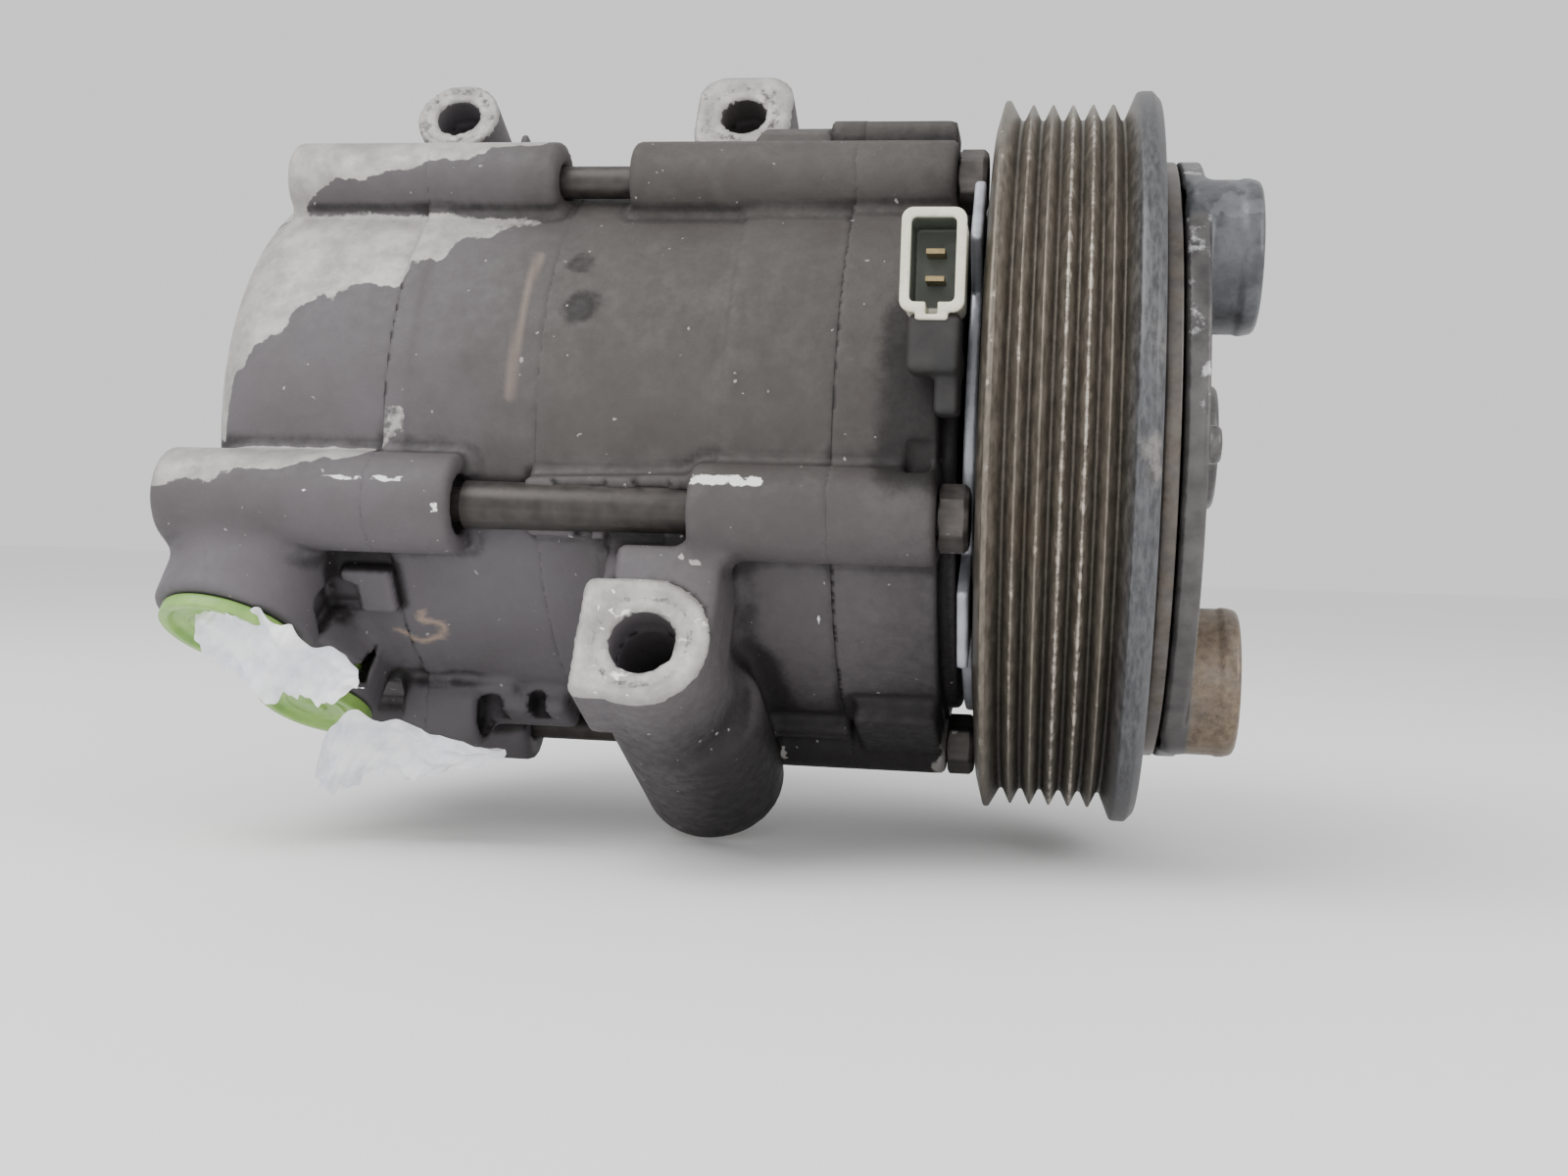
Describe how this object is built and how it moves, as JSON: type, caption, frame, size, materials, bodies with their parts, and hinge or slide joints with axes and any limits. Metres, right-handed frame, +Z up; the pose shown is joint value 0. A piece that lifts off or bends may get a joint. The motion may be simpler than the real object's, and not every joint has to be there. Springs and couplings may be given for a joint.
{
  "type": "automotive air conditioning compressor",
  "caption": "Barrel-shaped swash-plate compressor with a grooved belt pulley, a magnetic clutch with rubber-damped cups, mounting lugs, a coil connector and capped ports.",
  "frame": {"origin": "centre of the rear head's flat end, on the shaft's axis", "axes": "+X along the shaft from the rear head to the clutch; +Z up as the part lies in the picture; -Y towards the near side with the lug mouths, the connector and the ports"},
  "size_m": [0.1871, 0.1395, 0.1509],
  "materials": {
    "cast_aluminium": "weathered casting",
    "bolt_steel": "dull oiled steel",
    "ground_steel": "ground",
    "pulley_steel": "worn, brownish",
    "clutch_steel": "worn dark coating",
    "zinc_plate": "zinc plated",
    "copper_wire": "enamelled copper wire",
    "cream_plastic": "semi-gloss",
    "dark_plastic": "matte",
    "brass": "satin",
    "rubber": "matte",
    "green_plastic": "semi-gloss",
    "white_film": "soft torn film"
  },
  "bodies": {
    "case": {"bearing_inner_race": "ground_steel", "bearing_snap_ring": "ground_steel", "case_bolt_1": "bolt_steel", "case_bolt_2": "bolt_steel", "case_bolt_3": "bolt_steel", "case_bolt_4": "bolt_steel", "case_bolt_5": "bolt_steel", "coil_housing": "clutch_steel", "coil_plate": "zinc_plate", "coil_winding": "copper_wire", "connector": "cream_plastic", "connector_foot": "dark_plastic", "front_cylinder": "cast_aluminium", "front_head": "cast_aluminium", "front_needle_bearing": "ground_steel", "front_reed_sheet": "ground_steel", "front_thrust_bearing": "ground_steel", "front_valve_plate": "ground_steel", "piston_1": "cast_aluminium", "piston_2": "cast_aluminium", "piston_3": "cast_aluminium", "piston_4": "cast_aluminium", "piston_5": "cast_aluminium", "rear_cylinder": "cast_aluminium", "rear_head": "cast_aluminium", "rear_needle_bearing": "ground_steel", "rear_reed_sheet": "ground_steel", "rear_thrust_bearing": "ground_steel", "rear_valve_plate": "ground_steel", "relief_valve": "brass", "seal_snap_ring": "ground_steel", "shaft_seal": "rubber", "shoe_1_front": "ground_steel", "shoe_1_rear": "ground_steel", "shoe_2_front": "ground_steel", "shoe_2_rear": "ground_steel", "shoe_3_front": "ground_steel", "shoe_3_rear": "ground_steel", "shoe_4_front": "ground_steel", "shoe_4_rear": "ground_steel", "shoe_5_front": "ground_steel", "shoe_5_rear": "ground_steel", "swash_plate": "ground_steel", "terminal_1": "brass", "terminal_2": "brass"},
    "pulley": {"pulley": "pulley_steel", "bearing_outer_race": "ground_steel"},
    "ball_cage": {"bearing_ball_cage": "ground_steel"},
    "shaft": {"shaft": "ground_steel", "hub_plate": "clutch_steel", "rubber_damper_1": "rubber", "rubber_damper_2": "rubber", "rubber_damper_3": "rubber", "hub_bolt": "bolt_steel", "clutch_shim": "ground_steel"},
    "armature": {"armature_plate": "clutch_steel"},
    "suction_closure": {"suction_cap": "green_plastic", "suction_film": "white_film"},
    "discharge_closure": {"discharge_cap": "green_plastic", "discharge_film": "white_film"}
  },
  "joints": [
    {"name": "pulley_spin", "type": "hinge", "parent": "case", "child": "pulley", "pos_m": [0.15, 0, 0], "axis": [1, 0, 0], "continuous": true},
    {"name": "cage_spin", "type": "hinge", "parent": "case", "child": "ball_cage", "pos_m": [0.15, 0, 0], "axis": [1, 0, 0], "continuous": true},
    {"name": "shaft_spin", "type": "hinge", "parent": "case", "child": "shaft", "pos_m": [0.169, 0, 0], "axis": [1, 0, 0], "continuous": true},
    {"name": "armature_slide", "type": "slide", "parent": "shaft", "child": "armature", "axis": [-1, 0, 0], "range_m": [0, 0.0005], "stiffness_N_per_m": 8000},
    {"name": "suction_cap_pull", "type": "slide", "parent": "case", "child": "suction_closure", "axis": [-0.1001, -0.4806, -0.8712], "range_m": [0, 0.02]},
    {"name": "discharge_cap_pull", "type": "slide", "parent": "case", "child": "discharge_closure", "axis": [-0.1001, -0.4806, -0.8712], "range_m": [0, 0.02]}
  ],
  "couplings": [
    {"joint": "cage_spin", "follows": "pulley_spin", "ratio": 0.559}
  ]
}
